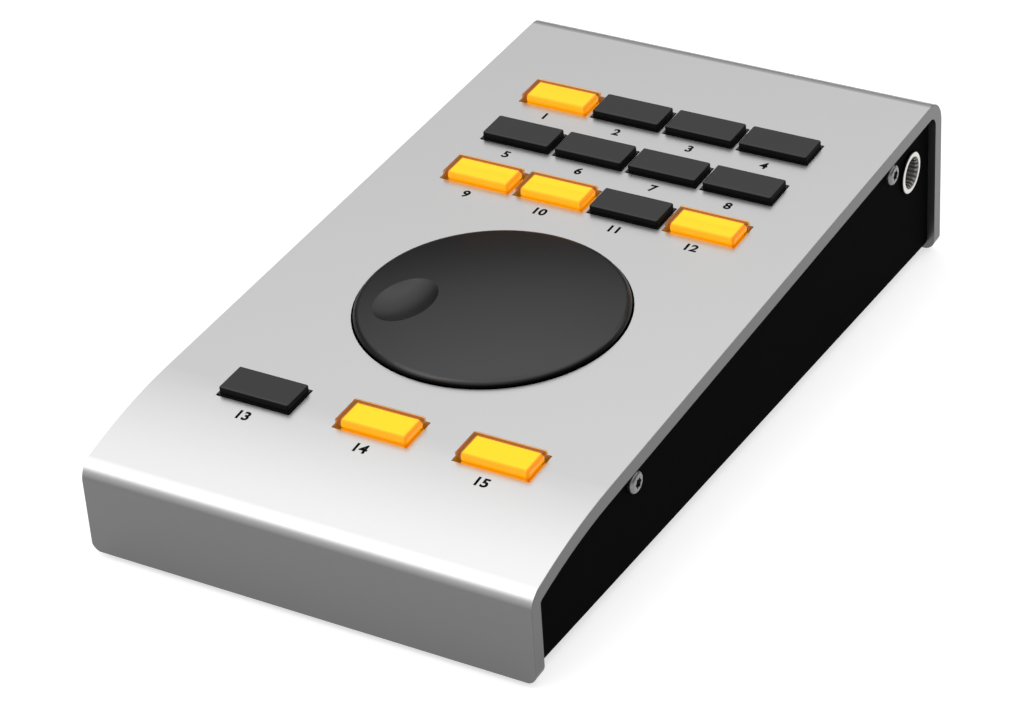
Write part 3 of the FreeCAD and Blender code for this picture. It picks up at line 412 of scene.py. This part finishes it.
lit_finishes = (amber_shell(), glowing_core())
print("lit finishes:", [material.name for material in lit_finishes])

# %% [markdown]
# On a dark key both pieces are smoked so dark that only the soft shine on the top shows. The picture
# shows no shine on the sides, so the shell is satin on top and matt at its sides, with two
# principled shaders mixed by the way the surface faces.

# %% Dark keys
SMOKE_COLOUR = "#060606"


def smoked_shell():
    """Nearly black plastic with a satin top that catches a grey sheen."""
    material, tree, shader = new_material(
        "smoked_black_polycarbonate", Base_Color=linear(SMOKE_COLOUR)
    )
    satin = grain_of(tree, SHELL_GRAIN)
    roughen(tree, shader, satin, 0.30, 0.36)
    emboss(tree, shader, satin, 0.1, 0.01 * MM)
    side = add_node(
        tree,
        "ShaderNodeBsdfPrincipled",
        Base_Color=linear(SMOKE_COLOUR),
        Roughness=0.6,
        Specular_IOR_Level=0.1,
    )
    both = add_node(
        tree,
        "ShaderNodeMixShader",
        Fac=facing(tree, plate_normal, 0.3, 0.9),
        i1=side.outputs["BSDF"],
        i2=shader.outputs["BSDF"],
    )
    tree.links.new(both.outputs["Shader"], tree.nodes["Material Output"].inputs["Surface"])
    return material


def unlit_core():
    """The same diffuser with its lamps off, a dark grey that hardly shows."""
    material, tree, shader = new_material("smoked_unlit_diffuser", Base_Color=linear("#121212"))
    roughen(tree, shader, grain_of(tree, CORE_GRAIN), 0.45, 0.55)
    return material


dark_finishes = (smoked_shell(), unlit_core())
print("dark finishes:", [material.name for material in dark_finishes])

# %% [markdown]
# Six of the fifteen keys are lit. Keys of one kind share their two materials, so that changing one
# value changes every key of that kind.

# %% Which keys are lit
LIT_KEYS = (1, 9, 10, 12, 14, 15)
KEY_NUMBERS = range(1, 16)

for (shell, core), wanted in ((lit_finishes, True), (dark_finishes, False)):
    keys = [number for number in KEY_NUMBERS if (number in LIT_KEYS) == wanted]
    finish_nodes(shell, *[f"key_cap_{number:02d}" for number in keys])
    finish_nodes(core, *[f"key_core_{number:02d}" for number in keys])

# %% [markdown]
# The small hardware and the pieces inside each have a plain finish of their own. A table keeps them
# together: the real material, its nodes, its colour, whether it is a metal and how rough it is. What
# each one gives the eye stands beside it. A speckle of 0.4 mm moves the roughness on all of them.

# %% Hardware and inner pieces
SPECK_SIZE = 0.4 * MM
METAL = 1.0
NOT_METAL = 0.0
PLAIN_FINISHES = [
    # dull grey screw heads with a soft highlight
    ("black_zinc_plated_steel", ["side_screws"], "#7A7A7B", METAL, 0.3),
    # cool bright steel of pillars and screws
    ("bright_zinc_plated_steel", ["board_standoffs", "board_screws"], "#B9BBBC", METAL, 0.3),
    # a clear mirror-like plate
    ("bright_nickel_plate", ["socket_shell", "crystal"], "#D8D6D0", METAL, 0.16),
    # soft black plastic
    (
        "moulded_black_nylon",
        ["jack_body", "key_guides", "encoder_body"],
        "#101011",
        NOT_METAL,
        0.5,
    ),
    # the dull face of a chip
    ("moulded_epoxy_package", ["microcontroller", "lamp_drivers"], "#1A1A1B", NOT_METAL, 0.6),
    # warm white plastic in the rear socket
    ("moulded_white_nylon", ["socket_insert"], "#E4E2DC", NOT_METAL, 0.45),
    # yellow shine of the contacts
    ("gold_plated_spring_bronze", ["jack_contacts", "socket_contacts"], "#D9AE5F", METAL, 0.22),
    # dry black rubber without any shine
    ("matt_black_rubber", ["rubber_feet"], "#161616", NOT_METAL, 0.85),
    # warm machined yellow
    ("machined_brass", ["wheel_bush"], "#C9A95C", METAL, 0.28),
    # smooth ground grey
    ("ground_steel", ["encoder_shaft"], "#B4B4B2", METAL, 0.24),
    # soft grey rubber pads
    ("grey_silicone", ["contact_pads"], "#8C8C88", NOT_METAL, 0.6),
    # glossy pale resin
    ("yellow_lamp_resin", ["key_lamps"], "#F4E9A0", NOT_METAL, 0.25),
    # drawn aluminium cans
    ("bare_aluminium_can", ["capacitors"], "#C4C5C8", METAL, 0.3),
    # glossy green lacquer
    ("green_solder_mask", ["main_board"], "#10502A", NOT_METAL, 0.3),
]

for name, nodes, colour, metallic, roughness in PLAIN_FINISHES:
    material, tree, shader = new_material(name, Base_Color=linear(colour), Metallic=metallic)
    roughen(tree, shader, grain_of(tree, SPECK_SIZE), roughness * 0.85, roughness * 1.15)
    finish_nodes(material, *nodes)

# %% [markdown]
# The jack's ring is turned brass with a bright nickel plate. In the picture its flat nose is bright,
# its outer rim is dark, and grey ribs show in its mouth. One plate doesn't give all three under this
# studio, so the three are painted apart, and the dark of the rim is painted shade. The normal is set
# against the way from the jack's axis: both point the same way on the rim, and against each other in
# the bore. The bore is no metal here, because a mirror in there would show black and hide its ribs.

# %% Nose ring of the jack
JACK_AXIS = (0, 83.91 * MM, 27.588 * MM)
NOSE_COLOUR = "#C9C7C2"
# painted shade: the outer rim is drawn near black, though the plate is the same nickel all round
RIM_PAINTED_SHADE = "#1C1B1A"
BORE_COLOUR = "#807E7B"


def spread_between(tree, value, low, high):
    """0 at the low value, 1 at the high one."""
    spread = add_node(tree, "ShaderNodeMapRange", Value=value, From_Min=low, From_Max=high)
    return spread.outputs["Result"]


def nickel_ring():
    """Bright nose, a rim darkened by painted shade, and dull grey flutes."""
    material, tree, shader = new_material("turned_nickel_plated_brass")
    from_axis = vector_math(tree, "SUBTRACT", place_of(tree), JACK_AXIS)
    across = vector_math(tree, "MULTIPLY", from_axis, (0, 1, 1))
    outward = vector_math(tree, "DOT_PRODUCT", across, way_of(tree))
    metal = spread_between(tree, outward, -2.5 * MM, -0.5 * MM)
    tree.links.new(metal, shader.inputs["Metallic"])
    on_rim = spread_between(tree, outward, -0.5 * MM, 0.5 * MM)
    round_side = mix_colours(tree, on_rim, linear(BORE_COLOUR), linear(RIM_PAINTED_SHADE))
    on_nose = facing(tree, (1, 0, 0), 0.6, 0.95)
    colour = mix_colours(tree, on_nose, round_side, linear(NOSE_COLOUR))
    tree.links.new(colour, shader.inputs["Base Color"])
    roughen(tree, shader, grain_of(tree, SPECK_SIZE), 0.2, 0.28)
    return material


finish_nodes(nickel_ring(), "jack_bush")

# %% [markdown]
# The numbers are screen-printed in front of each key with black ink. Text in Blender is a curve, so
# each number is typed as one, thickened a little and turned into a mesh. The front row stands where
# the plate begins to curve down, so the height of every point comes from the cover's own curve.

# %% One printed number
NUMBER_HEIGHT = 2.6 * MM
CAP_SHARE_OF_SIZE = 0.73
STROKE_GROWTH = 0.12 * MM
INK_THICKNESS = 0.03 * MM
CURVE_RADIUS = 120 * MM
CURVE_START = -46.8 * MM


def plate_height(v):
    """The height of the plate at V, counted from its own flat part, so zero or less."""
    run = min(v - CURVE_START, 0)
    return math.sqrt(CURVE_RADIUS**2 - run**2) - CURVE_RADIUS


def number_mesh(text):
    """A flat number centred on X, given the ink's thickness."""
    curve = bpy.data.curves.new("number", "FONT")
    curve.body = text
    curve.align_x = "CENTER"
    curve.size = NUMBER_HEIGHT / CAP_SHARE_OF_SIZE
    curve.extrude = INK_THICKNESS / 2
    curve.offset = STROKE_GROWTH
    curve.resolution_u = 6
    typed = bpy.data.objects.new("number", curve)
    bpy.context.scene.collection.objects.link(typed)
    bpy.context.view_layer.update()
    mesh = bpy.data.meshes.new_from_object(typed)
    bpy.data.objects.remove(typed)
    return mesh


print("font size in mm:", round(NUMBER_HEIGHT / CAP_SHARE_OF_SIZE / MM, 2))

# %% [markdown]
# All numbers become one piece, because they are one print. Each one is laid in front of its key,
# whose place is read from the solid model, and its points are dropped onto the plate.

# %% The whole print
NUMBER_DROP = 8.4 * MM
MERGE_DISTANCE = 0.001 * MM


def lay_number(print_mesh, number):
    """Add one number to the print, in front of its key."""
    low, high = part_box(f"key_cap_{number:02d}")
    middle = (Vector(low) + Vector(high)) / 2
    key_v = (middle - wheel_centre).dot(along_plate)
    mark = bmesh.new()
    mark.from_mesh(number_mesh(str(number)))
    heights = [vertex.co.y for vertex in mark.verts]
    centre_y = (min(heights) + max(heights)) / 2
    for vertex in mark.verts:
        v = key_v - NUMBER_DROP + vertex.co.y - centre_y
        vertex.co = on_plate(middle.x + vertex.co.x, v, plate_height(v) + vertex.co.z)
    laid = bpy.data.meshes.new("laid_number")
    mark.to_mesh(laid)
    mark.free()
    print_mesh.from_mesh(laid)


numbers = bmesh.new()
for number in KEY_NUMBERS:
    lay_number(numbers, number)
bmesh.ops.remove_doubles(numbers, verts=numbers.verts, dist=MERGE_DISTANCE)
bmesh.ops.recalc_face_normals(numbers, faces=numbers.faces)
number_data = bpy.data.meshes.new("key_numbers")
numbers.to_mesh(number_data)
numbers.free()
key_numbers = bpy.data.objects.new("key_numbers", number_data)
bpy.context.scene.collection.objects.link(key_numbers)
print("numbers:", len(number_data.polygons), "faces")

# %% [markdown]
# Screen ink dries matt and dense. It is blacker than anything else on the plate, with a fine speckle
# in what little shine it has. The print lies on the box itself, so it rides with the housing.

# %% Black ink
INK_GRAIN = 0.2 * MM

# dense flat black that reads clearly against the bright plate
ink, ink_tree, ink_shader = new_material(
    "black_screen_print_ink", Base_Color=linear("#030303"), Specular_IOR_Level=0.05
)
roughen(ink_tree, ink_shader, grain_of(ink_tree, INK_GRAIN), 0.55, 0.65)
number_data.materials.append(ink)
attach(key_numbers, "housing")
print("ink:", ink.name)

# %% [markdown]
# The studio is a sheet of white paper on the desk. White paper in a picture is often lifted to pure
# white, which a lamp can't do without burning out the metal too. So the paper gets a little light of
# its own, but only for rays that show it to the camera, in metal or through glass. It lies a hair
# under the feet, and it is clear from below, so that the underside of the box can be looked at.

# %% White paper
PAPER_REACH = 6.0
PAPER_DROP = 0.05 * MM
PAPER_LIFT = 0.6
PAPER_FIBRE = 3 * MM

floor_shape = bmesh.new()
bmesh.ops.create_grid(floor_shape, x_segments=1, y_segments=1, size=PAPER_REACH)
floor_mesh = bpy.data.meshes.new("floor")
floor_shape.to_mesh(floor_mesh)
floor_shape.free()
floor = bpy.data.objects.new("floor", floor_mesh)
bpy.context.scene.collection.objects.link(floor)
floor.location.z = -PAPER_DROP


def seen_directly(tree):
    """1 for rays that show the studio to the camera, in metal or through glass, 0 for light."""
    rays = add_node(tree, "ShaderNodeLightPath").outputs
    metal = add_node(tree, "ShaderNodeMath", i0=rays["Is Camera Ray"], i1=rays["Is Glossy Ray"])
    glass = add_node(
        tree,
        "ShaderNodeMath",
        {"use_clamp": True},
        i0=metal.outputs[0],
        i1=rays["Is Transmission Ray"],
    )
    return glass.outputs[0]


def white_paper():
    """Soft white ground that keeps a faint shadow under the box."""
    material, tree, shader = new_material(
        "white_paper",
        Base_Color=linear("#CBCBCB"),
        Specular_IOR_Level=0.1,
        Emission_Color=linear("#FFFFFF"),
    )
    roughen(tree, shader, grain_of(tree, PAPER_FIBRE), 0.85, 0.95)
    lift = add_node(
        tree, "ShaderNodeMath", {"operation": "MULTIPLY"}, i0=seen_directly(tree), i1=PAPER_LIFT
    )
    tree.links.new(lift.outputs[0], shader.inputs["Emission Strength"])
    from_below = add_node(tree, "ShaderNodeNewGeometry").outputs["Backfacing"]
    clear = add_node(tree, "ShaderNodeBsdfTransparent").outputs["BSDF"]
    one_sided = add_node(
        tree, "ShaderNodeMixShader", Fac=from_below, i1=shader.outputs["BSDF"], i2=clear
    )
    tree.links.new(one_sided.outputs["Shader"], tree.nodes["Material Output"].inputs["Surface"])
    return material


floor_mesh.materials.append(white_paper())
print("paper:", floor_mesh.materials[0].name)

# %% [markdown]
# Blasted metal mirrors its surroundings softly, so the walls and the ceiling of the studio shape the
# box more than any lamp. They are dark near the desk and grow brighter with height. The flat plate
# mirrors the middle of that slope and stays grey. The curved front tips up to its brightest part and
# turns white. Straight overhead it falls back, so that the plate isn't burnt out from above. A
# softer glow from the front lights the bend over the apron. The camera itself sees plain white.
#
# Every step of these ramps was tuned to the picture. From behind, the same plate looks much darker.

# %% Walls and ceiling


def ramp(tree, value, start, end, at_start, at_end):
    """A straight rise or fall between two values, held level outside them."""
    node = add_node(
        tree,
        "ShaderNodeMapRange",
        Value=value,
        From_Min=start,
        From_Max=end,
        To_Min=at_start,
        To_Max=at_end,
    )
    return node.outputs["Result"]


def combine(tree, operation, first, second):
    """One sum of two numbers."""
    return add_node(
        tree, "ShaderNodeMath", {"operation": operation}, i0=first, i1=second
    ).outputs[0]


world = bpy.data.worlds.new("studio")
world.use_nodes = True
sky = world.node_tree
direction = add_node(sky, "ShaderNodeTexCoord").outputs["Generated"]
parts = add_node(sky, "ShaderNodeSeparateXYZ", Vector=direction).outputs
walls = ramp(sky, parts["Z"], 0.27, 0.66, 0.08, 0.99)
soft_ceiling = ramp(sky, parts["Z"], 0.72, 0.92, 0.0, 0.66)
not_overhead = ramp(sky, parts["Z"], 0.93, 0.985, 1.0, 0.05)
ceiling = combine(sky, "MULTIPLY", soft_ceiling, not_overhead)
front_wall = ramp(sky, parts["Y"], -0.2, -0.8, 0.0, 0.8)
studio_light = combine(sky, "MAXIMUM", combine(sky, "ADD", walls, ceiling), front_wall)
to_camera = add_node(sky, "ShaderNodeLightPath").outputs["Is Camera Ray"]
strength = add_node(sky, "ShaderNodeMix", Factor=to_camera, A=studio_light, B=1.0)
backdrop = sky.nodes["Background"]
backdrop.inputs["Color"].default_value = linear("#FFFFFF")
sky.links.new(strength.outputs["Result"], backdrop.inputs["Strength"])
bpy.context.scene.world = world
print("studio walls:", world.name)

# %% [markdown]
# Two soft square lamps add direction: a larger one at the front left, and a smaller and weaker one at
# the rear right. The energy of an area lamp grows with its surface, so it is worked out from the
# brightness wanted.

# %% Lamps


def soft_lamp(name, size, heading, rise, distance, radiance):
    """A square area lamp that faces the box. Its heading turns from the rear towards +X."""
    lamp = bpy.data.lights.new(name, "AREA")
    lamp.size = size
    lamp.energy = radiance * math.pi * size**2
    holder = bpy.data.objects.new(name, lamp)
    bpy.context.scene.collection.objects.link(holder)
    turn = math.radians(heading)
    lift = math.radians(rise)
    holder.location = (
        distance * math.sin(turn) * math.cos(lift),
        distance * math.cos(turn) * math.cos(lift),
        distance * math.sin(lift),
    )
    holder.rotation_euler = (-holder.location).to_track_quat("-Z", "Y").to_euler()
    print(name, "in watts:", round(lamp.energy, 2))


soft_lamp("front_lamp", 1.0, heading=-145, rise=44, distance=1.5, radiance=1.2)
soft_lamp("rear_lamp", 0.7, heading=40, rise=30, distance=1.6, radiance=0.7)

# %% [markdown]
# The camera stands where the photograph was taken from. Its place, its turn and its lens were solved
# from the straight lines of the box in the picture, so they are odd numbers and not round ones.

# %% Camera
LENS_IN_MM = 119.28
SENSOR_IN_MM = 36
CAMERA_PLACE = (0.31172, -0.56375, 0.38701)
CAMERA_TURN_IN_DEGREES = (59.684, 1.1757, 28.880)

camera = bpy.data.cameras.new("camera")
camera.lens = LENS_IN_MM
camera.sensor_width = SENSOR_IN_MM
camera_holder = bpy.data.objects.new("camera", camera)
bpy.context.scene.collection.objects.link(camera_holder)
camera_holder.location = CAMERA_PLACE
camera_holder.rotation_euler = [math.radians(angle) for angle in CAMERA_TURN_IN_DEGREES]
bpy.context.scene.camera = camera_holder
bpy.context.scene.view_settings.view_transform = "Standard"
print("camera distance in m:", round(camera_holder.location.length, 3))
